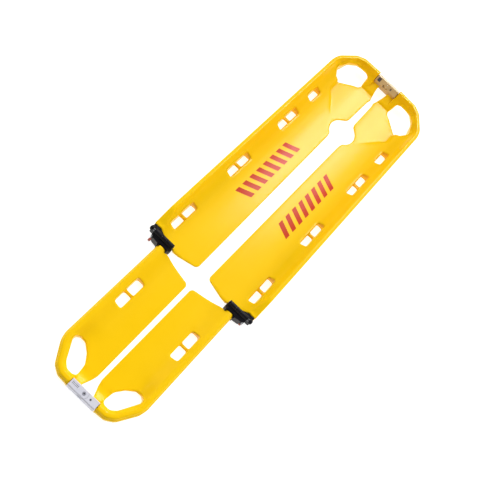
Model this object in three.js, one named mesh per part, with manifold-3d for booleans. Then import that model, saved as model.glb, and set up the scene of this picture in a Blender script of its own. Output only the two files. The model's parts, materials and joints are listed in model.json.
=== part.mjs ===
// Scoop stretcher: two moulded halves joined by a coupling at each end. Each half has a head shell
// and a foot shell, joined by a hinge casting; the foot shell also slides out on a tube.
// Millimetres, +X towards the head end, +Y the left half, +Z up, the origin on the floor below the middle.
import * as THREE from 'three';
import { mergeVertices } from 'three/addons/utils/BufferGeometryUtils.js';
import Module from 'manifold-3d';

const wasm = await Module();
wasm.setup();

// ---- driving dimensions -------------------------------------------------------------------------
const GAP = 0.3; // clearance between neighbouring pieces
const BELOW = -1; // where a cutting tool starts, and
const TOP = 90; // where it ends
const HEAD = { end: 815, rail: 217, height: 63 };
const FOOT = { end: -815, rail: 161, height: 38.5 };
const RAIL_DEPTH = 78; // how far the rail section reaches in from the outer edge
const SLOT = { length: 110, pitch: 283, firstX: -189, count: 3, innerY: 162, outerY: 184, corner: 5 };
const SINGLE_SLOT = { centreX: 540, length: 62 };
const FOOT_SLOT = { centreX: -497, length: 104, innerY: 101, outerY: 130, corner: 6 };
const STRAP_PIN = { radius: 4, footRadius: 3, headZ: 12, footZ: 6, socket: 5, endGap: 0.5 };
const SOCKET_DEPTH = STRAP_PIN.socket + STRAP_PIN.endGap;
const NECK = { centreX: 520, radius: 52 };
const FACET_Z = 7.8; // the flat part of the panel beside the head handholds
const LEAN = 0.96; // how far the head handhold's end wall moves out for each millimetre down, and
const LEAN_TOP = 45; // the height where it starts
const HINGE = { x: -303, z: 44, knuckleRadius: 8.5, pinRadius: 4.5, innerY: 121, outerY: 214 };
const KNUCKLES = { bracket: [[121, 127], [150, 168], [205, 214]], arm: [[127.6, 149.4], [168.6, 198]] };
const CASTING = { low: 6, high: 42 };
const BRACKET_TONGUE = { x: [-290, -215], y: [188, 208], z: [12, 34] };
const BRACKET_SCREW = { xs: [-262, -230], y: 198, low: 1.5, length: 30, headRadius: 5, shankRadius: 3 };
const TUBE = { y: 145.5, z: 20, radius: 10, wall: 2, headX: -307, footX: -720, boreRadius: 12 };
const TUBE_BUSH = { radius: 12.6, footX: -342.6, headX: -323.4 };
const TUBE_SCREW = { x: -314, length: 26, headRadius: 5, shankRadius: 3 };
const LENGTH_LOCK = { mouthX: -362, travel: 340, holes: 5, radius: 3.4, headRadius: 7 };
const LOCK_PIN = { y: 191, z: 33, radius: 3.5, footX: -329, headX: -304, tipRadius: 4.4 };
const TIP_LENGTH = { left: 10, right: 2.4 }; // the left pin is the one pulled out
const BAR_CLEARANCE = { head: 20, foot: 11 }; // finger room below the end handles
const LOCK_BODY = { inner: 12.5, outer: 13.7, skirt: 5.7, far: 51, pivotRadius: 4, tongue: 8, tongueR: 11 };
const HEAD_LOCK = { x: 801, seat: 28, height: 30, drop: 18, crest: 1, pivotBelow: 6 };
const FOOT_LOCK = { x: -801, seat: 12, height: 24, drop: 2.5, crest: -10.5, pivotBelow: 1.6 };
const LOCK_SCREW = { ys: [32, 44], low: 1.5, headRadius: 4.5, shankRadius: 2.5, above: 6 };
const RING_BUTTON = { radius: 5.6, hole: 2.4, proud: 1, depth: 4 };
const HEAD_BUTTON = { x: 795.5, y: 38, halfX: 4.5, halfY: 6.5, corner: 2, below: 20 };
const HEAD_CATCH = { x: 795, y: -20, radius: 2.6, below: 16 };
const FOOT_CATCH = { x: -801, y: -25, radius: 2.8, below: 7 };

// ---- materials ----------------------------------------------------------------------------------
const material = (color, roughness, metalness = 0) =>
  new THREE.MeshStandardMaterial({ color, roughness, metalness });
const YELLOW = material(0xf8cc0a, 0.45);
const BLACK = material(0x222226, 0.4);
const STEEL = material(0xb8bac0, 0.3, 1);
const ALLOY = material(0xc8cace, 0.35, 1);
const LIGHT_GREY = material(0xdcdce6, 0.4);
const DARK_GREY = material(0x50505a, 0.4);
const RED = material(0xa8412e, 0.4);
const NYLON = material(0xe6e4dc, 0.5);

// ---- shape helpers ------------------------------------------------------------------------------
function solidOf(geometry) {
  const bare = geometry.clone();
  bare.deleteAttribute('normal');
  bare.deleteAttribute('uv');
  const merged = mergeVertices(bare, 1e-4);
  return new wasm.Manifold(new wasm.Mesh({
    numProp: 3,
    vertProperties: new Float32Array(merged.attributes.position.array),
    triVerts: new Uint32Array(merged.index.array),
  }));
}

function geometryOf(solid) {
  const { vertProperties, triVerts } = solid.getMesh();
  const geometry = new THREE.BufferGeometry();
  geometry.setAttribute('position', new THREE.BufferAttribute(new Float32Array(vertProperties), 3));
  geometry.setIndex(new THREE.BufferAttribute(new Uint32Array(triVerts), 1));
  geometry.computeVertexNormals();
  return geometry;
}

const join = (first, ...rest) => rest.reduce((body, piece) => body.add(piece), first);
const cut = (first, ...tools) => tools.reduce((body, tool) => body.subtract(tool), first);

/** The same shape on the right half: y changes sign and the faces turn round. */
function mirrored(geometry) {
  const copy = geometry.clone();
  copy.scale(1, -1, 1);
  const index = copy.index.array;
  for (let i = 0; i < index.length; i += 3) {
    [index[i], index[i + 1]] = [index[i + 1], index[i]];
  }
  copy.computeVertexNormals();
  return copy;
}

/** Corner points [x, y, radius] as an outline whose corners are arcs. */
function rounded(corners, steps = 4) {
  const points = [];
  corners.forEach(([x, y, radius = 0], i) => {
    const here = new THREE.Vector2(x, y);
    const [px, py] = corners[(i + corners.length - 1) % corners.length];
    const [nx, ny] = corners[(i + 1) % corners.length];
    const back = new THREE.Vector2(px - x, py - y).normalize();
    const on = new THREE.Vector2(nx - x, ny - y).normalize();
    if (radius === 0) {
      points.push(here);
      return;
    }
    const half = Math.acos(THREE.MathUtils.clamp(back.dot(on), -1, 1)) / 2;
    const reach = radius / Math.tan(half);
    const centre = back.clone().add(on).normalize().multiplyScalar(radius / Math.sin(half)).add(here);
    const start = here.clone().addScaledVector(back, reach).sub(centre);
    const end = here.clone().addScaledVector(on, reach).sub(centre);
    const from = Math.atan2(start.y, start.x);
    let turn = Math.atan2(end.y, end.x) - from;
    turn -= 2 * Math.PI * Math.round(turn / (2 * Math.PI));
    for (let k = 0; k <= steps; k++) {
      const angle = from + (turn * k) / steps;
      points.push(new THREE.Vector2(Math.cos(angle), Math.sin(angle)).multiplyScalar(radius).add(centre));
    }
  });
  return points;
}

/** An upright prism on an outline in X and Y. */
function prism(points, low, high) {
  const shape = new THREE.Shape(points);
  const geometry = new THREE.ExtrudeGeometry(shape, { depth: high - low, bevelEnabled: false });
  return solidOf(geometry.translate(0, 0, low));
}

/** A section [y, z] pushed along X. */
function alongX(section, from, to) {
  const shape = new THREE.Shape(section.map(([y, z]) => new THREE.Vector2(y, z)));
  const geometry = new THREE.ExtrudeGeometry(shape, { depth: to - from, bevelEnabled: false });
  const turn = new THREE.Matrix4().makeBasis(
    new THREE.Vector3(0, 1, 0), new THREE.Vector3(0, 0, 1), new THREE.Vector3(1, 0, 0));
  return solidOf(geometry.applyMatrix4(turn).translate(from, 0, 0));
}

/** A section [x, z] pushed along Y. */
function alongY(section, from, to) {
  const shape = new THREE.Shape(section.map(([x, z]) => new THREE.Vector2(x, z)));
  const geometry = new THREE.ExtrudeGeometry(shape, { depth: to - from, bevelEnabled: false });
  return solidOf(geometry.rotateX(Math.PI / 2).translate(0, to, 0));
}

function block([x0, x1], [y0, y1], [z0, z1]) {
  const geometry = new THREE.BoxGeometry(x1 - x0, y1 - y0, z1 - z0);
  return solidOf(geometry.translate((x0 + x1) / 2, (y0 + y1) / 2, (z0 + z1) / 2));
}

function rodX(radius, from, to, y, z, sides = 20) {
  const geometry = new THREE.CylinderGeometry(radius, radius, to - from, sides);
  return solidOf(geometry.rotateZ(Math.PI / 2).translate((from + to) / 2, y, z));
}

function rodY(radius, from, to, x, z, sides = 20) {
  const geometry = new THREE.CylinderGeometry(radius, radius, to - from, sides);
  return solidOf(geometry.translate(x, (from + to) / 2, z));
}

function rodZ(radius, from, to, x, y, sides = 20) {
  const geometry = new THREE.CylinderGeometry(radius, radius, to - from, sides);
  return solidOf(geometry.rotateX(Math.PI / 2).translate(x, y, (from + to) / 2));
}

/** A profile [radius, z] turned about the upright axis through x, y. */
function turned(profile, x, y, sides = 20) {
  const geometry = new THREE.LatheGeometry(profile.map(([r, z]) => new THREE.Vector2(r, z)), sides);
  return solidOf(geometry.rotateX(Math.PI / 2).translate(x, y, 0));
}

/** A rail section [depth in from the edge, z] carried along an outline, mitred at its corners. */
function rail(path, section, inwardTurn) {
  const positions = [];
  path.forEach(([x, y], i) => {
    const before = path[Math.max(i - 1, 0)];
    const after = path[Math.min(i + 1, path.length - 1)];
    const came = new THREE.Vector2(x - before[0], y - before[1]).normalize();
    const goes = new THREE.Vector2(after[0] - x, after[1] - y).normalize();
    const first = i === 0 ? goes : came;
    const second = i === path.length - 1 ? came : goes;
    const mid = first.clone().add(second).normalize();
    const stretch = 1 / mid.dot(first);
    const inward = new THREE.Vector2(mid.y, -mid.x).multiplyScalar(inwardTurn * stretch);
    section.forEach(([depth, z]) => positions.push(x + inward.x * depth, y + inward.y * depth, z));
  });
  const n = section.length;
  const index = [];
  for (let i = 0; i + 1 < path.length; i++) {
    for (let k = 0; k < n; k++) {
      const a = i * n + k;
      const b = i * n + ((k + 1) % n);
      index.push(a, b, a + n, b, b + n, a + n);
    }
  }
  const flat = section.map(([depth, z]) => new THREE.Vector2(depth, z));
  const cap = THREE.ShapeUtils.triangulateShape(flat, []);
  const last = (path.length - 1) * n;
  const capFlip = THREE.ShapeUtils.isClockWise(flat);
  cap.forEach(([a, b, c]) => {
    if (capFlip) {
      index.push(a, b, c, last + c, last + b, last + a);
    } else {
      index.push(a, c, b, last + b, last + c, last + a);
    }
  });
  const geometry = new THREE.BufferGeometry();
  geometry.setAttribute('position', new THREE.Float32BufferAttribute(positions, 3));
  geometry.setIndex(index);
  const solid = solidOf(geometry);
  return solid.volume() > 0 ? solid : solidOf(insideOut(geometry));
}

function insideOut(geometry) {
  const index = geometry.index.array;
  for (let i = 0; i < index.length; i += 3) {
    [index[i], index[i + 1]] = [index[i + 1], index[i]];
  }
  return geometry;
}

/** A solid leaned along X by so much for each millimetre below a height. */
function leaned(points, low, high, lean) {
  const shape = new THREE.Shape(points);
  const geometry = new THREE.ExtrudeGeometry(shape, { depth: high - low, bevelEnabled: false });
  geometry.translate(0, 0, low);
  const place = geometry.attributes.position;
  for (let i = 0; i < place.count; i++) {
    place.setX(i, place.getX(i) + lean * (high - place.getZ(i)));
  }
  return solidOf(geometry);
}

const plain = (corners) => corners.map(([x, y]) => new THREE.Vector2(x, y));

/** A rectangle with rounded corners, between two corner points. */
const panelled = ([x0, x1], [y0, y1], corner) =>
  rounded([[x0, y0, corner], [x1, y0, corner], [x1, y1, corner], [x0, y1, corner]]);

const slotTool = (centreX, { length, innerY, outerY, corner }) =>
  prism(panelled([centreX - length / 2, centreX + length / 2], [innerY, outerY], corner), BELOW, TOP);

/** The blind holes on both sides of a slot that hold the ends of a strap pin. */
const pinSocket = (centreX, z, radius, { innerY, outerY }) =>
  rodY(radius + GAP, innerY - SOCKET_DEPTH, outerY + SOCKET_DEPTH, centreX, z, 12);

const strapPin = (centreX, z, radius, { innerY, outerY }) =>
  rodY(radius, innerY - STRAP_PIN.socket, outerY + STRAP_PIN.socket, centreX, z, 12);

// ---- the model ----------------------------------------------------------------------------------
const model = new THREE.Group();

function add(name, solid, look) {
  const mesh = new THREE.Mesh(solid.isBufferGeometry ? solid : geometryOf(solid), look);
  mesh.name = name;
  model.add(mesh);
}

/** One piece on each half, the right one a mirror image. */
function addPair(name, solid, look) {
  const geometry = geometryOf(solid);
  add(`${name}_left`, geometry, look);
  add(`${name}_right`, mirrored(geometry), look);
}

const HEAD_SECTION = [
  [0, 0], [0, 10], [2, 32], [8, 59], [12, HEAD.height], [17, 62], [22, 57],
  [31, 45], [42, 34], [55, 24], [RAIL_DEPTH, 7], [RAIL_DEPTH, 0],
];
const FOOT_SECTION = [
  [0, 0], [0, 8], [1, 22], [4, 34], [8, FOOT.height], [20, FOOT.height], [26, 33],
  [33, 25], [45, 16], [60, 10], [RAIL_DEPTH, 6], [RAIL_DEPTH, 0],
];
const headSlots = Array.from({ length: SLOT.count }, (_, i) => SLOT.firstX + i * SLOT.pitch);

/** The outline of the left head shell, from the hinge round by the head end and back. */
function headOutline() {
  const neckArc = [];
  for (let degrees = 38; degrees <= 142; degrees += 13) {
    const angle = THREE.MathUtils.degToRad(degrees);
    neckArc.push([NECK.centreX + NECK.radius * Math.cos(angle), NECK.radius * Math.sin(angle)]);
  }
  return [
    [-283, 200], [-283, 212, 4], [-278, HEAD.rail, 0], [702, HEAD.rail, 0], [733, 209.5, 20],
    [795, 162, 30], [812, 130, 30], [HEAD.end, 55, 0], [HEAD.end, 22, 0], [778, 21, 0],
    [762, 18, 12], [727, 7.5, 5], [711, 11, 0], [586, 13.5, 20], [574, 18, 12],
    ...neckArc, [462, 28, 12], [420, 27.5, 0], [-264, 24, 6], [-283, 38, 10], [-297, 93, 0],
    [-299, 115, 0], [-296, 119, 0], [-292.5, 138, 0], [-287, 173, 0], [-281.5, 192, 0],
  ];
}

function headShell() {
  const path = [
    [-320, HEAD.rail], [702, HEAD.rail], [733, 209.5], [795, 162], [812, 130], [HEAD.end, 55], [HEAD.end, 5],
  ];
  const panel = [[0, 0], [0, 5], [24, 6], [60, 7], [100, 10], [140, 16], [168, 25], [200, 25], [200, 0]];
  const body = join(rail(path, HEAD_SECTION, 1), alongX(panel, -320, 745));
  const shell = body.intersect(prism(rounded(headOutline()), -1, TOP));
  const handhold = rounded([
    [685, 166, 8], [681, 146, 10], [720, 97, 20], [733, 76, 10], [744, 71, 8],
    [768, 80, 12], [775, 95, 10], [772, 138, 12], [749, 162, 20], [706, 185, 14],
  ]);
  const seat = [
    [700, 9], [735, 9], [788, HEAD_LOCK.seat], [830, HEAD_LOCK.seat], [830, TOP], [700, TOP],
  ];
  const dip = [[-330, 42], [-272, 42], [-205, 66], [-205, TOP], [-330, TOP]];
  const facet = [[480, -5], [745, -5], [745, 72], [690, 150], [625, 146], [480, 34]];
  const underBar = [[716, 110], [742, 66], [830, 66], [830, 230], [716, 230]];
  return cut(
    shell,
    ...headSlots.map((x) => slotTool(x, SLOT)),
    slotTool(SINGLE_SLOT.centreX, { ...SLOT, length: SINGLE_SLOT.length }),
    ...headSlots.map((x) => pinSocket(x, STRAP_PIN.headZ, STRAP_PIN.radius, SLOT)),
    prism(handhold, BELOW, TOP),
    leaned(handhold, BAR_CLEARANCE.head - 1, LEAN_TOP, LEAN),
    prism(plain(underBar), BELOW, BAR_CLEARANCE.head),
    prism(plain(facet), FACET_Z, TOP),
    alongY(seat, -5, LOCK_BODY.far + 2.5),
    alongY(dip, 150, 230),
    bracketTongue(GAP),
    ...BRACKET_SCREW.xs.map((x) => screwHole(x, BRACKET_SCREW.y, BRACKET_SCREW, 13)),
    skirtRoom(HEAD_LOCK),
    ...LOCK_SCREW.ys.map((y) => screwHole(HEAD_LOCK.x, y, LOCK_SCREW, TOP)),
  );
}

/** Room for a coupling's outer wall, which covers the shell's end. */
const skirtRoom = (lock) => {
  const start = Math.abs(lock.x) + LOCK_BODY.skirt - GAP;
  const span = [start, start + 40].map((x) => x * Math.sign(lock.x)).sort((a, b) => a - b);
  return block(span, [-5, LOCK_BODY.far + 1], [BELOW, TOP]);
};

function footOutline() {
  return [
    [-323, 130.6, 0], [-323, FOOT.rail, 3], [-714, FOOT.rail, 0], [-737, 155, 20], [-797, 117, 25],
    [-813, 90, 20], [FOOT.end, 50, 0], [FOOT.end, 24, 0], [-782, 23.5, 0], [-752, 12, 15],
    [-734, 7.5, 15], [-354, 8.5, 10], [-339.5, 24, 10], [-325.5, 110, 0], [-325.5, 124, 0],
    [-329, 126, 0], [-329, 130.6, 0],
  ];
}

function footShell() {
  const path = [
    [-300, FOOT.rail], [-714, FOOT.rail], [-737, 155], [-797, 117], [-813, 90], [FOOT.end, 50], [FOOT.end, 0],
  ];
  const panel = [[0, 0], [0, 5], [8, 5], [40, 6], [80, 8.5], [105, 12], [130, 18], [150, 18], [150, 0]];
  const body = join(rail(path, FOOT_SECTION, -1), alongX(panel, -745, -300));
  const shell = body.intersect(prism(rounded(footOutline()), -1, TOP));
  const handhold = rounded([
    [-700, 131, 5], [-693, 121, 5], [-693, 103, 9], [-712, 79, 20], [-737, 60, 14],
    [-768, 55, 10], [-781, 60, 10], [-781, 82, 14], [-768, 98, 16], [-710, 131, 8],
  ]);
  const seat = [
    [-700, 8], [-755, 8], [-785, FOOT_LOCK.seat], [-830, FOOT_LOCK.seat], [-830, TOP], [-700, TOP],
  ];
  const underBar = [[-724, 90], [-748, 53], [-830, 53], [-830, 170], [-790, 170]];
  return cut(
    shell,
    slotTool(FOOT_SLOT.centreX, FOOT_SLOT),
    pinSocket(FOOT_SLOT.centreX, STRAP_PIN.footZ, STRAP_PIN.footRadius, FOOT_SLOT),
    prism(handhold, BELOW, TOP),
    prism(plain(underBar), BELOW, BAR_CLEARANCE.foot),
    alongY(seat, -5, LOCK_BODY.far + 1.5),
    rodX(TUBE.boreRadius, TUBE.footX - 3, -300, TUBE.y, TUBE.z, 24),
    rodX(TUBE_BUSH.radius + GAP, TUBE_BUSH.footX - 0.4, -300, TUBE.y, TUBE.z, 24),
    lengthLockBore(),
    skirtRoom(FOOT_LOCK),
    ...LOCK_SCREW.ys.map((y) => screwHole(FOOT_LOCK.x, y, LOCK_SCREW, TOP)),
  );
}

// ---- hinge castings -----------------------------------------------------------------------------
const bracketTongue = (grow) => {
  const { x, y, z } = BRACKET_TONGUE;
  return block([x[0], x[1] + grow], [y[0] - grow, y[1] + grow], [z[0] - grow, z[1] + grow]);
};

/** A screw's hole from below: a counterbore for its head, and its shank's bore up to a height. */
const screwHole = (x, y, { low, headRadius, shankRadius }, high) => join(
  rodZ(shankRadius + GAP, BELOW, high, x, y, 12),
  rodZ(headRadius + 1, BELOW, low + 3.5, x, y, 12),
);

function knuckle([from, to], reachX) {
  const low = Math.min(reachX, HINGE.x);
  const high = Math.max(reachX, HINGE.x);
  return join(
    rodY(HINGE.knuckleRadius, from, to, HINGE.x, HINGE.z, 24),
    block([low, high], [from, to], [CASTING.low + 6, HINGE.z]),
  );
}

/** The casting on the head shell: a plate along the shell's end, a tongue inside it and three knuckles. */
function hingeBracket() {
  const plan = plain([
    [-302.7, HINGE.innerY], [-296.2, HINGE.innerY], [-293, 138], [-287.5, 173], [-282, 192],
    [-283.6, 200], [-283.6, HINGE.outerY], [-302.7, HINGE.outerY],
  ]);
  const above = [
    [100, 18], [HINGE.outerY, CASTING.high - 1], [230, CASTING.high - 1], [230, TOP], [100, TOP],
  ];
  const plate = cut(prism(plan, CASTING.low, CASTING.high), alongX(above, -310, -270));
  const swept = KNUCKLES.arm.map(([from, to]) =>
    rodY(HINGE.knuckleRadius + GAP, from - GAP, to + GAP, HINGE.x, HINGE.z, 24));
  const back = KNUCKLES.bracket.map((span) => knuckle(span, -297));
  const tongue = cut(bracketTongue(0), ...BRACKET_SCREW.xs.map((x) =>
    rodZ(BRACKET_SCREW.shankRadius + GAP, 0, TOP, x, BRACKET_SCREW.y, 12)));
  return cut(
    join(plate, ...back, tongue),
    ...swept,
    rodY(HINGE.pinRadius + GAP, 100, 230, HINGE.x, HINGE.z, 20),
  );
}

/** The casting on the foot side: it holds the tube, the lock pin and two knuckles. */
function hingeArm() {
  const body = prism(rounded([
    [-303.3, 119.5, 0], [-303.3, 198, 0], [-318, 198, 3], [-324, 184, 4], [-326.5, 164.5, 2],
    [-331, 164.5, 1], [-331, 161.6, 1], [-322.6, 161.6, 0], [-322.6, 130.2, 0], [-328.5, 130.2, 1],
    [-328.5, 126.6, 1], [-322, 126.6, 2], [-317, 119.5, 3],
  ], 3), CASTING.low, CASTING.high);
  const outerSlope = [[-340, 33], [-316, CASTING.high + 0.1], [-316, TOP], [-340, TOP]];
  const innerSlope = [[100, 14], [132, CASTING.high + 0.1], [132, TOP], [100, TOP]];
  const swept = KNUCKLES.bracket.map(([from, to]) =>
    rodY(HINGE.knuckleRadius + GAP, from - GAP, to + GAP, HINGE.x, HINGE.z, 24));
  const front = KNUCKLES.arm.map((span) => knuckle(span, -314));
  return cut(
    join(cut(body, alongY(outerSlope, 110, 210), alongX(innerSlope, -335, -303)), ...front),
    ...swept,
    rodY(HINGE.pinRadius + GAP, 100, 230, HINGE.x, HINGE.z, 20),
    rodX(TUBE.radius + GAP, -340, TUBE.headX + GAP, TUBE.y, TUBE.z, 24),
    rodX(LOCK_PIN.radius + GAP, -340, -300, LOCK_PIN.y, LOCK_PIN.z, 16),
    screwHole(TUBE_SCREW.x, TUBE.y, { ...TUBE_SCREW, low: CASTING.low }, CASTING.low + TUBE_SCREW.length + 2),
  );
}

function hingePin() {
  return join(
    rodY(HINGE.pinRadius, HINGE.innerY - 1.5, HINGE.outerY + 0.5, HINGE.x, HINGE.z, 20),
    rodY(HINGE.pinRadius + 2, HINGE.outerY + GAP, HINGE.outerY + 2.4, HINGE.x, HINGE.z, 20),
  );
}

function telescopingTube() {
  const bore = rodX(TUBE.radius - TUBE.wall, TUBE.footX - 5, TUBE.headX + 5, TUBE.y, TUBE.z, 24);
  const pitch = LENGTH_LOCK.travel / (LENGTH_LOCK.holes - 1);
  const indexHoles = Array.from({ length: LENGTH_LOCK.holes }, (_, i) =>
    rodZ(4, 5, TUBE.z, LENGTH_LOCK.mouthX - i * pitch, TUBE.y, 12));
  return cut(
    rodX(TUBE.radius, TUBE.footX, TUBE.headX, TUBE.y, TUBE.z, 24),
    bore,
    rodZ(TUBE_SCREW.shankRadius + GAP, 0, 34, TUBE_SCREW.x, TUBE.y, 12),
    ...indexHoles,
  );
}

/** The bore for the length lock's plunger, up through the underside of the foot rail. */
function lengthLockBore() {
  return join(
    rodZ(LENGTH_LOCK.radius + GAP, BELOW, 10, LENGTH_LOCK.mouthX, TUBE.y, 16),
    rodZ(LENGTH_LOCK.headRadius + GAP, BELOW, 5.5, LENGTH_LOCK.mouthX, TUBE.y, 20),
  );
}

function tubeMouthBush() {
  return cut(
    rodX(TUBE_BUSH.radius, TUBE_BUSH.footX, TUBE_BUSH.headX, TUBE.y, TUBE.z, 24),
    rodX(TUBE.radius + GAP, -350, -320, TUBE.y, TUBE.z, 24),
  );
}

function tubeEndBush() {
  return join(
    rodX(TUBE.boreRadius - GAP, TUBE.footX - 2.3, TUBE.footX - GAP, TUBE.y, TUBE.z, 24),
    rodX(TUBE.radius - TUBE.wall - GAP, TUBE.footX - 1, TUBE.footX + 14, TUBE.y, TUBE.z, 24),
  );
}

// ---- end couplings ------------------------------------------------------------------------------
/** The block section [x, z] of a coupling, with an outer wall that covers the shell's end. */
function couplingSection(lock, raised = 0) {
  const out = Math.sign(lock.x);
  const low = lock.seat + GAP;
  const high = lock.seat + lock.height + raised;
  return [
    [-LOCK_BODY.inner, low], [-LOCK_BODY.inner, high - lock.drop], [lock.crest, high],
    [LOCK_BODY.outer - 3, high], [LOCK_BODY.outer, high - 3], [LOCK_BODY.outer, 1],
    [LOCK_BODY.skirt, 1], [LOCK_BODY.skirt, low],
  ].map(([x, z]) => [lock.x + out * x, z]);
}

const tongueSpan = (lock) => {
  const low = lock.seat + lock.height * 0.3;
  return [low, low + LOCK_BODY.tongue];
};

const pivotTop = (lock) => lock.seat + lock.height - lock.pivotBelow;

const lockScrewBores = (lock, side) => LOCK_SCREW.ys.map((y) =>
  rodZ(LOCK_SCREW.shankRadius + GAP, 0, lock.seat + LOCK_SCREW.above + 2 * GAP, lock.x, side * y, 12));

/** The half of a coupling with the socket: a clevis round the tongue, its end round about the pivot. */
function couplingHousing(lock, ...recesses) {
  const plan = join(
    block([lock.x - 20, lock.x + 20], [0, LOCK_BODY.far], [0, TOP]),
    rodZ(LOCK_BODY.outer, 0, TOP, lock.x, 0, 32),
  );
  const [low, high] = tongueSpan(lock);
  return cut(
    alongY(couplingSection(lock), -20, LOCK_BODY.far).intersect(plan),
    block([lock.x - 20, lock.x + 20], [-20, 13], [low - 0.5, high + 0.5]),
    rodZ(LOCK_BODY.pivotRadius + GAP, 0, pivotTop(lock) + GAP, lock.x, 0, 20),
    ...lockScrewBores(lock, 1),
    ...recesses,
  );
}

/** The other half: a body with a tongue that turns on the pivot pin. */
function couplingTongue(lock, ...recesses) {
  const [low, high] = tongueSpan(lock);
  const body = cut(
    alongY(couplingSection(lock), -LOCK_BODY.far, 0),
    rodZ(LOCK_BODY.outer + 0.6, 0, TOP, lock.x, 0, 32),
  );
  const tongue = join(
    rodZ(LOCK_BODY.tongueR, low, high, lock.x, 0, 24),
    block([lock.x - 9, lock.x + 9], [-20, 0], [low, high]),
  );
  return cut(
    join(body, tongue),
    rodZ(LOCK_BODY.pivotRadius + GAP, 0, TOP, lock.x, 0, 20),
    ...lockScrewBores(lock, -1),
    ...recesses,
  );
}

/** The ring-shaped release button round the end of the foot coupling's pivot pin. */
function ringButton(lock) {
  const high = lock.seat + lock.height;
  const { radius, hole, proud } = RING_BUTTON;
  return turned([[hole, high - 1.2], [radius, high - 1.2], [radius, high + proud - 0.6],
    [radius - 0.6, high + proud], [hole + 0.5, high + proud], [hole, high + proud - 0.5],
    [hole, high - 1.2]], lock.x, 0, 24);
}

const ringButtonRoom = (lock) =>
  rodZ(RING_BUTTON.radius + GAP, lock.seat + lock.height - RING_BUTTON.depth, TOP, lock.x, 0, 24);

function couplingPivot(lock) {
  return rodZ(LOCK_BODY.pivotRadius, lock.seat + 2.5, pivotTop(lock), lock.x, 0, 16);
}

/** A press piece: an outline pushed up to just above the coupling's own surface. */
function pressPiece(lock, outline, below) {
  const high = lock.seat + lock.height;
  const over = alongY(couplingSection(lock, 0.8), -LOCK_BODY.far, LOCK_BODY.far);
  return prism(outline, high - below, TOP).intersect(over);
}

const pressRoom = (lock, outline, below) => prism(outline, lock.seat + lock.height - below - 3, TOP);

const headButtonOutline = (grow) => panelled(
  [HEAD_BUTTON.x - HEAD_BUTTON.halfX - grow, HEAD_BUTTON.x + HEAD_BUTTON.halfX + grow],
  [HEAD_BUTTON.y - HEAD_BUTTON.halfY - grow, HEAD_BUTTON.y + HEAD_BUTTON.halfY + grow],
  HEAD_BUTTON.corner + grow);

const catchOutline = ({ x, y, radius }, grow) => {
  const half = radius + grow;
  return panelled([x - half, x + half], [y - half, y + half], half - 0.1);
};

/** A screw that goes in from below, its head at the bottom with a socket in it. */
function screw(x, y, { low, headRadius, shankRadius }, high) {
  const socket = headRadius / 2;
  return turned([[0, low + 1.2], [socket, low + 1.2], [socket, low], [headRadius, low], [headRadius, low + 3],
    [shankRadius, low + 3], [shankRadius, high], [0, high]], x, y, 12);
}

// ---- locks of the fold and the length -----------------------------------------------------------
const foldLockPin = () => rodX(LOCK_PIN.radius, LOCK_PIN.footX, LOCK_PIN.headX, LOCK_PIN.y, LOCK_PIN.z, 16);

function foldLockTip(length) {
  const radius = LOCK_PIN.tipRadius;
  const profile = [
    [0, 0], [radius - 1, 0], [radius, 0.8], [radius, length - 0.8], [radius - 1, length], [0, length],
  ];
  const geometry = new THREE.LatheGeometry(profile.map(([r, h]) => new THREE.Vector2(r, h)), 16);
  const tipX = LOCK_PIN.footX - GAP - length;
  return solidOf(geometry.rotateZ(-Math.PI / 2).translate(tipX, LOCK_PIN.y, LOCK_PIN.z));
}

function lengthLockPlunger() {
  return join(
    rodZ(LENGTH_LOCK.radius, 1.2, 9, LENGTH_LOCK.mouthX, TUBE.y, 16),
    rodZ(LENGTH_LOCK.headRadius, 1.2, 3.4, LENGTH_LOCK.mouthX, TUBE.y, 20),
  );
}

// ---- assembly -----------------------------------------------------------------------------------
addPair('head_shell', headShell(), YELLOW);
addPair('foot_shell', footShell(), YELLOW);
addPair('hinge_bracket', hingeBracket(), BLACK);
addPair('hinge_arm', hingeArm(), BLACK);
addPair('hinge_pin', hingePin(), STEEL);
addPair('telescoping_tube', telescopingTube(), ALLOY);
addPair('tube_mouth_bush', tubeMouthBush(), NYLON);
addPair('tube_end_bush', tubeEndBush(), NYLON);
addPair('tube_screw', screw(TUBE_SCREW.x, TUBE.y, { ...TUBE_SCREW, low: CASTING.low + 0.2 },
  CASTING.low + TUBE_SCREW.length), STEEL);
addPair('fold_lock_pin', foldLockPin(), STEEL);
add('fold_lock_tip_left', foldLockTip(TIP_LENGTH.left), RED);
add('fold_lock_tip_right', mirrored(geometryOf(foldLockTip(TIP_LENGTH.right))), RED);
addPair('length_lock_plunger', lengthLockPlunger(), DARK_GREY);
BRACKET_SCREW.xs.forEach((x, i) => addPair(`bracket_screw_${i + 1}`,
  screw(x, BRACKET_SCREW.y, BRACKET_SCREW, BRACKET_SCREW.low + BRACKET_SCREW.length), STEEL));
headSlots.forEach((x, i) => addPair(`head_strap_pin_${i + 1}`,
  strapPin(x, STRAP_PIN.headZ, STRAP_PIN.radius, SLOT), STEEL));
addPair('foot_strap_pin',
  strapPin(FOOT_SLOT.centreX, STRAP_PIN.footZ, STRAP_PIN.footRadius, FOOT_SLOT), STEEL);

add('head_lock_housing', couplingHousing(HEAD_LOCK,
  pressRoom(HEAD_LOCK, headButtonOutline(GAP), HEAD_BUTTON.below)), LIGHT_GREY);
add('head_lock_tongue', couplingTongue(HEAD_LOCK,
  pressRoom(HEAD_LOCK, catchOutline(HEAD_CATCH, GAP), HEAD_CATCH.below)), LIGHT_GREY);
add('head_lock_button', pressPiece(HEAD_LOCK, headButtonOutline(0), HEAD_BUTTON.below), DARK_GREY);
add('head_lock_catch', pressPiece(HEAD_LOCK, catchOutline(HEAD_CATCH, 0), HEAD_CATCH.below), DARK_GREY);
add('head_lock_pivot_pin', couplingPivot(HEAD_LOCK), STEEL);

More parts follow.
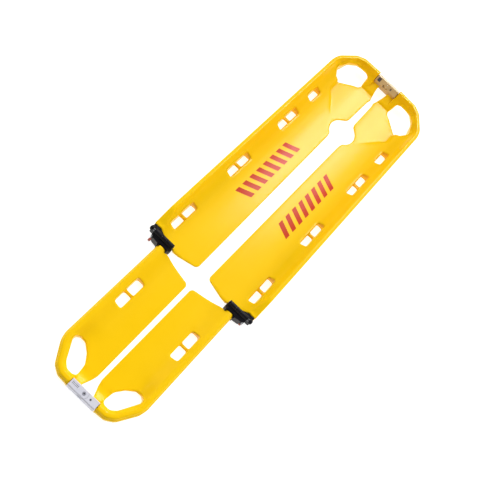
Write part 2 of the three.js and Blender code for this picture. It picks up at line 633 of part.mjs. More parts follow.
add('foot_lock_housing', couplingHousing(FOOT_LOCK, ringButtonRoom(FOOT_LOCK)), LIGHT_GREY);
add('foot_lock_tongue', couplingTongue(FOOT_LOCK,
  pressRoom(FOOT_LOCK, catchOutline(FOOT_CATCH, GAP), FOOT_CATCH.below)), LIGHT_GREY);
add('foot_lock_button', ringButton(FOOT_LOCK), DARK_GREY);
add('foot_lock_catch', pressPiece(FOOT_LOCK, catchOutline(FOOT_CATCH, 0), FOOT_CATCH.below), DARK_GREY);
add('foot_lock_pivot_pin', couplingPivot(FOOT_LOCK), STEEL);

[['head_lock', HEAD_LOCK], ['foot_lock', FOOT_LOCK]].forEach(([name, lock]) => {
  LOCK_SCREW.ys.forEach((y, i) => {
    const high = lock.seat + LOCK_SCREW.above;
    add(`${name}_screw_left_${i + 1}`, screw(lock.x, y, LOCK_SCREW, high), STEEL);
    add(`${name}_screw_right_${i + 1}`, screw(lock.x, -y, LOCK_SCREW, high), STEEL);
  });
});

export default model;
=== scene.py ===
"""Scoop stretcher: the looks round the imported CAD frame. Shells are in millimetres, lamps in metres."""
import json
import math

import bmesh
import bpy
import numpy as np
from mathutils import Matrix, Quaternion, Vector
from mathutils.geometry import delaunay_2d_cdt


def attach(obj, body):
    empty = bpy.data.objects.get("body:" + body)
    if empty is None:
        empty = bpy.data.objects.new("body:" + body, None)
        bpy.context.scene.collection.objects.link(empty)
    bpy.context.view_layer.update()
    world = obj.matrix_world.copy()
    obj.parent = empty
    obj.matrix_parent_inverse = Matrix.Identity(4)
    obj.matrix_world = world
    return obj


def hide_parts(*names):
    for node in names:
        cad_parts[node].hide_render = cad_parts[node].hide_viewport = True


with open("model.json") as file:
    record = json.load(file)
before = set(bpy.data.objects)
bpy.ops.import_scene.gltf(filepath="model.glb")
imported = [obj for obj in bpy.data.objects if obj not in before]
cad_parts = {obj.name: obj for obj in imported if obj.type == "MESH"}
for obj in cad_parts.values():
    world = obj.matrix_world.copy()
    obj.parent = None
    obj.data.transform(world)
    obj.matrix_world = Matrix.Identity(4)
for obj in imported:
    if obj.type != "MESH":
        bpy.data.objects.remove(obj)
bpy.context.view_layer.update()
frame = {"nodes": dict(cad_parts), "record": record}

MM = 0.001

# ---- driving dimensions: the shells ----------------------------------------------------------
HEAD_END, HEAD_RAIL = 815, 217
FOOT_END, FOOT_RAIL = -815, 161
HEAD_SLOT_XS = [-189, 94, 377]
SLOT_SIZE, SLOT_Y, SLOT_CORNER = (110, 22), 173, 4.5
SINGLE_SLOT_X, SINGLE_SLOT_LENGTH = 540, 62
FOOT_SLOT_X, FOOT_SLOT_SIZE, FOOT_SLOT_Y, FOOT_SLOT_CORNER = -497, (104, 29), 115.5, 7.5
NECK_X, NECK_RADIUS = 520, 52
SHELL_END, SKIRT_Y = 806.4, 52.3  # the coupling's outer wall covers the shell's end from here
HEAD_SEAT_Z, FOOT_SEAT_Z = 28, 12
HEAD_BAR_Z, FOOT_BAR_Z = 20, 11
FACET_Z = 7.8
FACET = [(480, -5), (745, -5), (745, 72), (690, 150), (625, 146), (480, 34)]
LEAN, LEAN_TOP, LEAN_DEPTH = 0.96, 40.5, 20.5  # the head handhold's end wall leans out below this height
HANDHOLD_MIDDLE = [(752, 71), (750, 95), (731, 138), (716, 162), (706, 185)]
LIP_STEPS = 4
GRID_STEP = 11
HEAD_LIPS = [3.4, 5, 5, 5, 5, 7]  # lip radius of the outline, then of each hole
FOOT_LIPS = [3.0, 4, 5]
HEAD_GRID_FROM, FOOT_GRID_FROM = 70, 64  # the plain grid starts this far in from the rail's edge
HINGE_DIP = ([-330, -272, -205], [42, 42, 66])  # x, and the rail's highest z there, under the bracket
HEAD_SEAT = ([700, 733, 788, 830], [9, 9, HEAD_SEAT_Z, HEAD_SEAT_Z])  # x, and the ledge's z by the coupling
FOOT_SEAT = ([761, 783], [4.5, FOOT_SEAT_Z])  # the same for the foot, over -x
FOOT_NARROWS_AT, FOOT_NARROWS_OVER = -625, 80  # where the foot rail's slope gets its steeper section
HEAD_BAR, FOOT_BAR = (12, 6, 4.5, 4.5), (6, 5, 4, 5.5)  # z, half width, half height, flare
BAR_SIDES, BAR_ROWS, BAR_EMBED, BAR_SQUARENESS = 24, 29, 2, 0.6
STEP_ROWS = [48.5, 50, 50.9, 51.8, 52.7, 53.6, 54.6, 56.5]  # y of the rows where a rail stops at a coupling
EDGE_SOFTNESS = {"black_casting": 1.2, "coupling_plastic": 1.0}

# ---- driving dimensions: holes in the shells for screws and tubes -----------------------------
BRACKET_SCREWS = {"xs": (-262, -230), "y": 198, "head": 6, "shank": 3.3, "depth": 5, "top": 13}
LOCK_SCREWS = {"x": 801, "ys": (32, 44), "head": 5.5, "shank": 2.8, "depth": 5, "top": 40}
LENGTH_LOCK = {"x": -362, "head": 7.3, "shank": 3.7, "depth": 5.5, "top": 12}
TUBE_Y, TUBE_Z, TUBE_MOUTH_X = 145.5, 20, -300
TUBE_BORE = [(0, 0), (12.9, 0), (12.9, 43), (12.3, 43), (12.3, 423), (0, 423)]  # radius, distance in

# ---- driving dimensions: plain marks, in place of the lettering ------------------------------
HEAD_MARKS = {
    "row": "x", "start": 76, "pitch": 38, "count": 8, "share": 0.55, "slant": 0.5, "across": (64, 118),
    "above": 3, "both_halves": True,
}
FOOT_LOCK_MARKS = {
    "row": "y", "start": 24, "pitch": 4, "count": 6, "share": 0.35, "slant": 0, "across": (-803, -795),
    "above": 30, "both_halves": False,
}

# ---- driving dimensions: sections, as (distance in from the outer edge, z) or (y, z) ----------
HEAD_SECTION = [
    (0, 62.2), (4, 63.2), (8, 63.5), (13, 63.5), (16.5, 60), (20, 53), (26, 44), (34, 36), (46, 28),
    (58, 19), (78, 7), (90, 0),
]
FOOT_WIDE_SECTION = [
    (0, 24), (3, 31.5), (5.5, 36), (9, 38.5), (16, 38.3), (24, 35.5), (34, 30), (46, 23),
    (60, 16.5), (76, 11), (96, 6), (120, 0),
]
FOOT_SECTION = [
    (0, 24), (3, 31.5), (5.5, 36), (9, 38.5), (20, 38.5), (26, 33), (33, 25), (45, 16),
    (60, 10), (78, 5), (90, 0),
]
HEAD_PANEL = [(0, 5), (24, 6), (60, 7), (100, 10), (140, 16), (168, 25), (240, 26)]
FOOT_PANEL = [(0, 5), (8, 5), (40, 6), (80, 8.5), (105, 12), (130, 18), (200, 18)]
HEAD_RINGS = [
    4.8, 6.4, 8.4, 10.4, 12, 13.2, 14.3, 15.6, 17.2, 19, 21, 23.5, 27, 31, 36, 42, 48, 55, 62, 69, 77, 84,
]
FOOT_RINGS = [4.3, 5.5, 7, 8.8, 10.6, 12.8, 16, 19, 21.5, 24, 27, 31, 36, 42, 49, 57, 66]


# ---- outlines --------------------------------------------------------------------------------
def rounded(corners, step=5.0):
    """Corners (x, y, radius) as a closed loop of points, arcs included, about one step apart."""
    points = []
    count = len(corners)
    for i, (x, y, radius) in enumerate(corners):
        here = np.array([x, y], float)
        back = np.array(corners[i - 1][:2], float) - here
        on = np.array(corners[(i + 1) % count][:2], float) - here
        back /= np.linalg.norm(back)
        on /= np.linalg.norm(on)
        if radius == 0:
            points.append(here)
            continue
        half = math.acos(max(-1, min(1, back @ on))) / 2
        reach = radius / math.tan(half)
        middle = back + on
        centre = here + middle / np.linalg.norm(middle) * radius / math.sin(half)
        start = here + back * reach - centre
        end = here + on * reach - centre
        first = math.atan2(start[1], start[0])
        turn = math.remainder(math.atan2(end[1], end[0]) - first, 2 * math.pi)
        steps = max(3, round(abs(turn) * radius / min(step, 3)))
        for k in range(steps + 1):
            angle = first + turn * k / steps
            points.append(centre + radius * np.array([math.cos(angle), math.sin(angle)]))
    return refine(np.array(points), step)


def refine(points, step):
    """The closed loop with points added so that no stretch is longer than a step."""
    result = []
    for a, b in zip(points, np.roll(points, -1, axis=0)):
        gap = np.linalg.norm(b - a)
        if gap < 1e-6:
            continue
        parts = max(1, math.ceil(gap / step))
        result += [a + (b - a) * k / parts for k in range(parts)]
    return np.array(result)


def slot_loop(x, y, length, width, radius):
    half, side = length / 2, width / 2
    corners = [(x - half, y - side), (x + half, y - side), (x + half, y + side), (x - half, y + side)]
    return rounded([(*c, radius) for c in corners], 4)


def wound(loop, anticlockwise):
    area = np.sum(loop[:, 0] * np.roll(loop[:, 1], -1) - np.roll(loop[:, 0], -1) * loop[:, 1])
    return loop if (area > 0) == anticlockwise else loop[::-1].copy()


def inward(loop):
    """Unit normals of a loop, to its left."""
    along = np.roll(loop, -1, axis=0) - np.roll(loop, 1, axis=0)
    along /= np.linalg.norm(along, axis=1)[:, None]
    return np.stack([-along[:, 1], along[:, 0]], axis=1)


def distance(points, line, closed=False):
    """Each point's distance to a line of points."""
    a = line if closed else line[:-1]
    b = np.roll(line, -1, axis=0) if closed else line[1:]
    best = np.full(len(points), 1e9)
    for start, end in zip(a, b):
        way = end - start
        t = np.clip((points - start) @ way / max(way @ way, 1e-9), 0, 1)
        best = np.minimum(best, np.linalg.norm(points - start - t[:, None] * way, axis=1))
    return best


def inside(points, loop):
    """Whether each point lies inside a closed loop."""
    result = np.zeros(len(points), bool)
    x, y = points[:, 0], points[:, 1]
    for (ax, ay), (bx, by) in zip(loop, np.roll(loop, -1, axis=0)):
        if ay == by:
            continue
        crosses = (ay > y) != (by > y)
        result ^= crosses & (x < (bx - ax) * (y - ay) / (by - ay) + ax)
    return result


# ---- heights ---------------------------------------------------------------------------------
def profile(points, blur):
    """A smooth height curve through a section's points."""
    xs = np.arange(-5, 300, 0.25)
    heights = np.interp(xs, *zip(*points))
    reach = int(4 * blur / 0.25)
    weights = np.exp(-0.5 * (np.arange(-reach, reach + 1) * 0.25 / blur) ** 2)
    padded = np.pad(heights, reach, mode="edge")
    smooth = np.convolve(padded, weights / weights.sum(), mode="valid")
    return lambda at: np.interp(at, xs, smooth)


def ease(t):
    t = np.clip(t, 0, 1)
    return t * t * (3 - 2 * t)


def smooth_max(a, b, width):
    share = np.clip(0.5 + 0.5 * (a - b) / width, 0, 1)
    return b * (1 - share) + a * share + width * share * (1 - share)


def smooth_min(a, b, width):
    return -smooth_max(-a, -b, width)


HEAD_PATH = [(-330, 217, 0), (702, 217, 90), (733, 209.5, 60), (795, 162, 30), (812, 130, 25),
             (HEAD_END, 55, 0), (HEAD_END, 0, 0), (-330, 0, 0)]
FOOT_PATH = [(-290, 0, 0), (FOOT_END, 0, 0), (FOOT_END, 50, 0), (-813, 90, 30), (-797, 117, 40),
             (-737, 155, 60), (-714, 161, 60), (-290, 161, 0)]


def open_path(corners, keep):
    """The outer stretch of a rounded loop, as an open line."""
    loop = rounded(corners, 5)
    kept = [p for p in loop if keep(p)]
    return np.array(kept)


head_path = open_path(HEAD_PATH, lambda p: p[1] > 1 and p[0] > -331 and not (p[0] < -329 and p[1] < 216))
foot_path = open_path(FOOT_PATH, lambda p: p[1] > 1 and not (p[0] > -291 and p[1] < 160))
head_rail, foot_rail, foot_wide_rail = (
    profile(section, 1.1) for section in (HEAD_SECTION, FOOT_SECTION, FOOT_WIDE_SECTION))
head_panel, foot_panel = profile(HEAD_PANEL, 9), profile(FOOT_PANEL, 9)


def head_top(p):
    """The z of the head shell's upper face: rail, panel, dip under the bracket, facet and coupling ledge."""
    x, y = p[:, 0], p[:, 1]
    rail = head_rail(distance(p, head_path))
    height = smooth_max(rail, head_panel(y), 5)
    height = smooth_min(height, np.interp(x, *HINGE_DIP), 4)
    faceted = inside(p, np.array(FACET, float))
    depth = distance(p, np.array(FACET, float), True) * np.where(faceted, 1, -1)
    share = ease(0.5 + depth / 8)
    height = height * (1 - share) + np.minimum(height, FACET_Z) * share
    seat = np.interp(x, *HEAD_SEAT)
    near = (1 - ease((y - 51) / 3.5)) * ease((x - 715) / 10)
    return height * (1 - near) + np.minimum(height, seat) * near


def foot_top(p):
    """The z of the foot shell's upper face: rail, panel and coupling ledge."""
    x, y = p[:, 0], p[:, 1]
    depth = distance(p, foot_path)
    narrow = ease((FOOT_NARROWS_AT - x) / FOOT_NARROWS_OVER)
    rail = foot_wide_rail(depth) * (1 - narrow) + foot_rail(depth) * narrow
    height = smooth_max(rail, foot_panel(y), 5)
    seat = np.interp(-x, *FOOT_SEAT)
    near = (1 - ease((y - 50) / 3.5)) * ease((-x - 735) / 10)
    return height * (1 - near) + np.minimum(height, seat) * near


def head_bottom(p):
    """The z of the head shell's underside, which is hollowed below the carrying bar."""
    x, y = p[:, 0], p[:, 1]
    return HEAD_BAR_Z * ease((x - 722) / 26) * ease((y - 60) / 14)


def foot_bottom(p):
    """The z of the foot shell's underside, which is hollowed below the carrying bar."""
    x, y = p[:, 0], p[:, 1]
    return FOOT_BAR_Z * ease((-x - 728) / 24) * ease((y - 50) / 12)


def lean(p, z):
    """How far the end wall of the head handhold moves towards +X at each point and height."""
    x, y = p[:, 0], p[:, 1]
    middle_xs, middle_ys = zip(*HANDHOLD_MIDDLE)
    side = ease((x - np.interp(y, middle_ys, middle_xs)) / 14)
    room = np.clip(distance(p, head_path) / 36, 0, 1)
    span = ease((y - 62) / 14) * ease((200 - y) / 14)
    return LEAN * np.clip(LEAN_TOP - z, 0, LEAN_DEPTH) * side * room * span


def upright(p, z):
    """Walls that stand straight up."""
    return np.zeros(len(p))


# ---- shell meshes ----------------------------------------------------------------------------
def lip_stacks(loops, lips):
    """For each loop, its copies from the very edge to the inner side of its rounded lip."""
    angles = [math.pi / 2 * k / LIP_STEPS for k in range(LIP_STEPS + 1)]
    stacks = []
    for loop, lip in zip(loops, lips):
        normals = inward(loop)
        stacks.append([loop + normals * lip * (1 - math.cos(a)) for a in angles])
    return stacks


def fill_points(inner, outline, path, rings, grid_from):
    """Points inside a shell: close together on the rail, at the facet and where a rail stops."""
    candidates = [path_ring(path, depth) for depth in rings]
    xs = np.arange(outline[:, 0].min(), outline[:, 0].max(), GRID_STEP)
    ys = np.arange(2, outline[:, 1].max(), GRID_STEP)
    grid = np.array([(x, y) for x in xs for y in ys])
    candidates.append(grid[distance(grid, path) > grid_from])
    facet = refine(np.array(FACET, float), 6)
    candidates += [facet + inward(facet) * depth for depth in (-4.5, -1.5, 1.5, 4.5)]
    points = np.concatenate(candidates)
    in_step = (abs(points[:, 1] - 52.75) < 5) & (abs(points[:, 0]) > 735)
    step_rows = [(x, y) for y in STEP_ROWS for x in np.arange(-812, 813, 3) if abs(x) > 735]
    points = np.concatenate([points[~in_step], step_rows])
    keep = inside(points, inner[0])
    for hole in inner[1:]:
        keep &= ~inside(points, hole)
    points = points[keep]
    for loop, room in zip(inner, [1.1] + [2.2] * (len(inner) - 1)):
        points = points[distance(points, loop, True) > room]
    return points


def triangulated(inner, points):
    """The flat region between the loops as triangles, with each loop's points found again in the result."""
    flat, edges = [], []
    for loop in inner:
        start = len(flat)
        flat += [Vector(p) for p in loop]
        edges += [(start + k, start + (k + 1) % len(loop)) for k in range(len(loop))]
    flat += [Vector(p) for p in points]
    verts, _, faces, sources, _, _ = delaunay_2d_cdt(flat, edges, [], 0, 1e-4)
    where = {}
    for new, olds in enumerate(sources):
        for old in olds:
            where[old] = new
    verts = np.array([tuple(v) for v in verts])
    faces = np.array([tuple(f) for f in faces if len(f) == 3])
    middles = verts[faces].mean(axis=1)
    good = inside(middles, inner[0])
    for hole in inner[1:]:
        good &= ~inside(middles, hole)
    return verts, faces[good], where


def lip_rows(stack, lip, top, bottom, shift, place):
    """Adds a wall's rounded rows of points to a mesh, and gives their indices, upper and lower."""
    angles = [math.pi / 2 * k / LIP_STEPS for k in range(LIP_STEPS)]
    count = len(stack[0])
    edge_top, edge_bottom = top(stack[-1]), bottom(stack[-1])
    radius = np.minimum(lip, 0.42 * (edge_top - edge_bottom))
    base = np.minimum(2.0, 0.42 * (edge_top - edge_bottom))
    rows_top, rows_bottom = [], []
    for ring, angle in zip(stack, angles):
        rise = 1 - math.sin(angle)
        for rows, zs in ((rows_top, edge_top - radius * rise), (rows_bottom, edge_bottom + base * rise)):
            rows.append(list(range(len(place), len(place) + count)))
            place += [(x + dx, y, z) for (x, y), z, dx in zip(ring, zs, shift(ring, zs))]
    return rows_top, rows_bottom


def shell_mesh(outline, holes, path, rings, top, bottom, lips, grid_from, shift):
    """A closed shell: the region inside the outline and outside the holes, between two height fields."""
    loops = [wound(outline, True)] + [wound(hole, False) for hole in holes]
    stacks = lip_stacks(loops, lips)
    inner = [stack[-1] for stack in stacks]
    verts, faces, where = triangulated(inner, fill_points(inner, outline, path, rings, grid_from))
    upper, lower = top(verts), bottom(verts)
    count = len(verts)
    place = [(x, y, z) for (x, y), z in zip(verts, upper)]
    place += [(x + dx, y, z) for (x, y), z, dx in zip(verts, lower, shift(verts, lower))]
    polygons = [tuple(int(v) for v in f) for f in faces]
    polygons += [tuple(int(v) + count for v in f[::-1]) for f in faces]
    start = 0
    for stack, lip in zip(stacks, lips):
        n = len(stack[0])
        rows_top, rows_bottom = lip_rows(stack, lip, top, bottom, shift, place)
        rows_top.append([where[start + k] for k in range(n)])
        rows_bottom.append([where[start + k] + count for k in range(n)])
        ladder = rows_bottom[::-1] + rows_top
        for below, above in zip(ladder, ladder[1:]):
            for k in range(n):
                j = (k + 1) % n
                polygons.append((below[k], below[j], above[j], above[k]))
        start += n
    return np.array(place), polygons


def path_ring(path, depth):
    """Points a depth in from the rail's outer edge, without those that fold over at its corners."""
    along = np.gradient(path, axis=0)
    along /= np.linalg.norm(along, axis=1)[:, None]
    left = np.stack([-along[:, 1], along[:, 0]], axis=1)
    side = 1 if (path[len(path) // 2] + left[len(path) // 2])[1] < path[len(path) // 2][1] else -1
    ring = path + left * side * depth
    return ring[distance(ring, path) > depth - 0.15]


def mesh_object(name, place, polygons, mirror=False):
    place = place.copy()
    if mirror:
        place[:, 1] *= -1
        polygons = [p[::-1] for p in polygons]
    mesh = bpy.data.meshes.new(name)
    mesh.from_pydata((place * MM).tolist(), [], polygons)
    mesh.validate()
    mesh.shade_smooth()
    mesh.set_sharp_from_angle(angle=math.radians(50))
    obj = bpy.data.objects.new(name, mesh)
    bpy.context.scene.collection.objects.link(obj)
    return obj


def head_outline():
    arc = []
    for degrees in range(38, 143, 8):
        angle = math.radians(degrees)
        arc.append((NECK_X + NECK_RADIUS * math.cos(angle), NECK_RADIUS * math.sin(angle), 0))
    return rounded([
        (-283, 200, 0), (-283, 212, 4), (-278, HEAD_RAIL, 0), (702, HEAD_RAIL, 90), (733, 209.5, 60),
        (795, 162, 30), (812, 130, 25), (HEAD_END, 55, 0), (HEAD_END, SKIRT_Y, 0),
        (SHELL_END, SKIRT_Y, 0), (SHELL_END, 22, 0), (778, 21, 0),
        (762, 18, 12), (727, 7.5, 5), (711, 11, 0), (586, 13.5, 20), (574, 18, 12),
        *arc, (462, 28, 12), (420, 27.5, 0), (-279.4, 24, 17), (-297, 93, 0),
        (-299, 115, 0), (-296, 119, 0), (-292.5, 138, 0), (-287, 173, 0), (-281.5, 192, 0),
    ])


HEAD_HANDHOLD = [
    (685, 166, 8), (681, 146, 10), (720, 97, 20), (733, 76, 10), (744, 71, 8),
    (771, 79, 12), (779.4, 95, 10), (776.4, 139, 12), (751, 164, 20), (706, 186, 14),
]


def foot_outline():
    return rounded([
        (-323, 130.6, 0), (-323, FOOT_RAIL, 3), (-714, FOOT_RAIL, 60), (-737, 155, 60), (-797, 117, 40),
        (-813, 90, 30), (FOOT_END, SKIRT_Y, 0), (-SHELL_END, SKIRT_Y, 0), (-SHELL_END, 24, 0),
        (-782, 23.5, 3), (-752, 12, 15), (-734, 7.5, 15), (-342, 8.5, 15), (-325.5, 110, 0), (-325.5, 124, 0),
        (-329, 126, 0), (-329, 130.6, 0),
    ])


FOOT_HANDHOLD = [
    (-699, 133, 10), (-690.5, 122, 12), (-691, 102, 16), (-710, 77, 24), (-736, 57.5, 24),
    (-768, 53, 16), (-783.5, 59, 12), (-783.5, 83, 18), (-769.5, 100, 22), (-711, 133.5, 10),
]


# ---- materials -------------------------------------------------------------------------------
def noise(tree, scale, detail=3.0):
    coords = tree.nodes.new("ShaderNodeTexCoord")
    node = tree.nodes.new("ShaderNodeTexNoise")
    node.inputs["Scale"].default_value = scale
    node.inputs["Detail"].default_value = detail
    tree.links.new(coords.outputs["Object"], node.inputs["Vector"])
    return node.outputs["Fac"]


def blend(tree, value, low, high):
    """A colour between two, as a value goes from 0.3 to 0.7."""
    node = tree.nodes.new("ShaderNodeValToRGB")
    node.color_ramp.elements[0].position = 0.3
    node.color_ramp.elements[1].position = 0.7
    node.color_ramp.elements[0].color = (*low, 1)
    node.color_ramp.elements[1].color = (*high, 1)
    tree.links.new(value, node.inputs["Fac"])
    return node.outputs["Color"]


def spread(tree, value, low, high):
    """A value from 0.3 to 0.7 carried to another range."""
    node = tree.nodes.new("ShaderNodeMapRange")
    node.inputs["From Min"].default_value = 0.3
    node.inputs["From Max"].default_value = 0.7
    node.inputs["To Min"].default_value = low
    node.inputs["To Max"].default_value = high
    tree.links.new(value, node.inputs["Value"])
    return node.outputs["Result"]


def bump(tree, value, strength, depth_m, under=None):
    node = tree.nodes.new("ShaderNodeBump")
    node.inputs["Strength"].default_value = strength
    node.inputs["Distance"].default_value = depth_m
    tree.links.new(value, node.inputs["Height"])
    if under is not None:
        tree.links.new(under, node.inputs["Normal"])
    return node.outputs["Normal"]


def math_node(tree, operation, *values):
    """One step of arithmetic; each value is a socket or a number."""
    node = tree.nodes.new("ShaderNodeMath")
    node.operation = operation
    for socket, value in zip(node.inputs, values):
        if isinstance(value, (int, float)):
            socket.default_value = value
        else:
            tree.links.new(value, socket)
    return node.outputs["Value"]


def surface(name, low, high, roughness, grain, metallic=0.0, patch=6.0, wave_m=0.0004):
    """Two close colours in patches, uneven roughness, slow waves in the surface and a fine grain."""
    made = bpy.data.materials.new(name)
    made.use_nodes = True
    tree = made.node_tree
    shader = tree.nodes["Principled BSDF"]
    shader.inputs["Metallic"].default_value = metallic
    tree.links.new(blend(tree, noise(tree, patch), low, high), shader.inputs["Base Color"])
    uneven = spread(tree, noise(tree, patch * 8), roughness * 0.88, roughness * 1.12)
    tree.links.new(uneven, shader.inputs["Roughness"])
    waves = bump(tree, noise(tree, patch * 2, 1), 0.3, wave_m)
    tree.links.new(bump(tree, noise(tree, grain, 2), 0.12, 0.0003, waves), shader.inputs["Normal"])
    return made


def marked(made, color, marks):
    """Adds a plain row of slanted bars above a height, in the object's own millimetres."""
    tree = made.node_tree
    shader = tree.nodes["Principled BSDF"]
    plain = shader.inputs["Base Color"].links[0].from_socket
    coords = tree.nodes.new("ShaderNodeTexCoord")
    axes = tree.nodes.new("ShaderNodeSeparateXYZ")
    tree.links.new(coords.outputs["Object"], axes.inputs["Vector"])
    x, y, z = (math_node(tree, "MULTIPLY", axes.outputs[axis], 1 / MM) for axis in "XYZ")
    if marks["both_halves"]:
        y = math_node(tree, "ABSOLUTE", y)
    along, across = (x, y) if marks["row"] == "x" else (y, x)
    slanted = math_node(tree, "MULTIPLY_ADD", across, marks["slant"], along)
    start, pitch, count = marks["start"], marks["pitch"], marks["count"]
    turns = math_node(tree, "DIVIDE", math_node(tree, "SUBTRACT", slanted, start), pitch)
    low, high = marks["across"]
    mask = math_node(tree, "LESS_THAN", math_node(tree, "FRACT", turns), marks["share"])
    for test in (
        math_node(tree, "COMPARE", turns, count / 2, count / 2),
        math_node(tree, "COMPARE", across, (low + high) / 2, (high - low) / 2),
        math_node(tree, "GREATER_THAN", z, marks["above"]),
    ):
        mask = math_node(tree, "MULTIPLY", mask, test)
    mix = tree.nodes.new("ShaderNodeMix")
    mix.data_type = "RGBA"
    sockets = {socket.identifier: socket for socket in [*mix.inputs, *mix.outputs]}
    sockets["B_Color"].default_value = (*color, 1)
    tree.links.new(mask, sockets["Factor_Float"])
    tree.links.new(plain, sockets["A_Color"])
    tree.links.new(sockets["Result_Color"], shader.inputs["Base Color"])
    return made


YELLOW = {"low": (0.955, 0.582, 0.003), "high": (0.98, 0.607, 0.005), "roughness": 0.24, "grain": 900}
WHITE_PLASTIC = {
    "low": (0.66, 0.66, 0.74), "high": (0.70, 0.70, 0.77), "roughness": 0.35, "grain": 1200, "patch": 30,
}
BRIGHT_STEEL = {"grain": 2500, "metallic": 1.0, "patch": 60, "wave_m": 0.0001}
SMALL_PLASTIC = {"roughness": 0.4, "grain": 1500, "patch": 60}
LOOKS = {
    "yellow_plastic": surface("yellow_plastic", **YELLOW),
    "black_casting": surface(
        "black_casting", low=(0.006, 0.006, 0.008), high=(0.013, 0.011, 0.015), roughness=0.42, grain=1400,
        patch=30),
    "steel": surface(
        "steel", low=(0.58, 0.58, 0.60), high=(0.66, 0.66, 0.68), roughness=0.27, **BRIGHT_STEEL),
    # The olive-yellow of these rods is a painted reflection of the yellow shell round them, with painted
    # shade from the slots.
    "plated_steel": surface(
        "plated_steel", low=(0.62, 0.50, 0.06), high=(0.72, 0.60, 0.10), roughness=0.36, grain=2500,
        metallic=0.35, patch=60, wave_m=0.0001),
    "tube_alloy": surface(
        "tube_alloy", low=(0.46, 0.47, 0.49), high=(0.54, 0.55, 0.57), roughness=0.32, grain=1800,
        metallic=1.0, patch=20, wave_m=0.0001),
    "coupling_plastic": surface("coupling_plastic", **WHITE_PLASTIC),
    "dark_plastic": surface("dark_plastic", low=(0.06, 0.06, 0.07), high=(0.10, 0.10, 0.12), **SMALL_PLASTIC),
    "red_tip": surface("red_tip", low=(0.30, 0.06, 0.04), high=(0.38, 0.09, 0.06), **SMALL_PLASTIC),
    "nylon": surface(
        "nylon", low=(0.68, 0.67, 0.63), high=(0.75, 0.74, 0.70), roughness=0.5, grain=1200, patch=40),
}
HEAD_LOOK = marked(surface("marked_yellow_plastic", **YELLOW), (0.56, 0.040, 0.006), HEAD_MARKS)
FOOT_LOCK_LOOK = marked(
    surface("marked_coupling_plastic", **WHITE_PLASTIC), (0.12, 0.12, 0.16), FOOT_LOCK_MARKS)
# The head coupling is the same light grey plastic as the foot's. This tan copy is painted yellow light
# bounced from the shell, with painted shade on its sloped face.
COUPLING_PAINTED_BOUNCE_LOOK = surface(
    "coupling_plastic_painted_yellow_bounce", low=(0.64, 0.49, 0.24), high=(0.69, 0.53, 0.27), roughness=0.35, grain=1200,
    patch=30)
# A darker copy of the steel for the hinge pins: painted shade for the stretch of pin that lies in the gap
# between knuckle and arm.
HINGE_SHADE_PIN_LOOK = surface(
    "steel_painted_hinge_shade", low=(0.16, 0.16, 0.17), high=(0.22, 0.22, 0.23), roughness=0.30, **BRIGHT_STEEL)
BUTTON_LOOK = surface("grey_button", low=(0.34, 0.34, 0.40), high=(0.40, 0.40, 0.46), **SMALL_PLASTIC)
SPECIAL_LOOKS = {
    "hinge_pin_left": HINGE_SHADE_PIN_LOOK,
    "hinge_pin_right": HINGE_SHADE_PIN_LOOK,
    "foot_lock_button": BUTTON_LOOK,
    "foot_lock_housing": FOOT_LOCK_LOOK,
    "head_lock_housing": COUPLING_PAINTED_BOUNCE_LOOK,
    "head_lock_tongue": COUPLING_PAINTED_BOUNCE_LOOK,
}
for look, level in ((LOOKS["yellow_plastic"], 0.14), (HEAD_LOOK, 0.14), (LOOKS["black_casting"], 0.22)):
    look.node_tree.nodes["Principled BSDF"].inputs["Specular IOR Level"].default_value = level


# ---- camera and light ------------------------------------------------------------------------
CAMERA_PLACE = Vector((-1149.3, -55.2, 1994.4)) * MM
CAMERA_TARGET = Vector((-98.8, -9.5, 0)) * MM
CAMERA_ROLL = math.radians(41.63)
CAMERA_LENS = 51.46
WORLD_LIGHT, HORIZON_LIGHT, FLOOR_GLOW = 0.13, 1.0, 0.85
HORIZON_BAND = (0.07, 0.22)  # the sine of the height above the horizon over which the world darkens
FLOOR_REACH, FLOOR_DROP = 30, 0.0005
STRIP_POWER, STRIP_COLOR = 112, (0.88, 0.94, 1)
BOX_POWER = 70
WARM_POWER, WARM_COLOR = 0.36, (1, 0.12, 0.02)
SUN_POWER, SUN_ANGLE = 1.06, 45


def make_camera():
    """The camera, placed so that the object stands in the picture as it does in the reference."""
    data = bpy.data.cameras.new("camera")
    data.lens = CAMERA_LENS
    data.sensor_width = 36
    camera = bpy.data.objects.new("camera", data)
    bpy.context.scene.collection.objects.link(camera)
    camera.location = CAMERA_PLACE
    camera.rotation_mode = "QUATERNION"
    aim = (CAMERA_TARGET - CAMERA_PLACE).to_track_quat("-Z", "Y")
    camera.rotation_quaternion = aim @ Quaternion((0, 0, 1), CAMERA_ROLL)
    bpy.context.scene.camera = camera


def area_light(name, place, target, size, power, color=(1, 1, 1)):
    data = bpy.data.lights.new(name, "AREA")
    data.shape = "RECTANGLE"
    data.size, data.size_y = size
    data.energy = power
    data.color = color
    light = bpy.data.objects.new(name, data)
    bpy.context.scene.collection.objects.link(light)
    light.location = place
    light.rotation_mode = "QUATERNION"
    light.rotation_quaternion = (Vector(target) - Vector(place)).to_track_quat("-Z", "Y")
    return light


def sun(name, place, power):
    """A distant soft lamp that shines from a place towards the origin."""
    data = bpy.data.lights.new(name, "SUN")
    data.energy = power
    data.angle = math.radians(SUN_ANGLE)
    light = bpy.data.objects.new(name, data)
    bpy.context.scene.collection.objects.link(light)
    light.rotation_mode = "QUATERNION"
    light.rotation_quaternion = (-Vector(place)).to_track_quat("-Z", "Y")
    light.visible_glossy = False


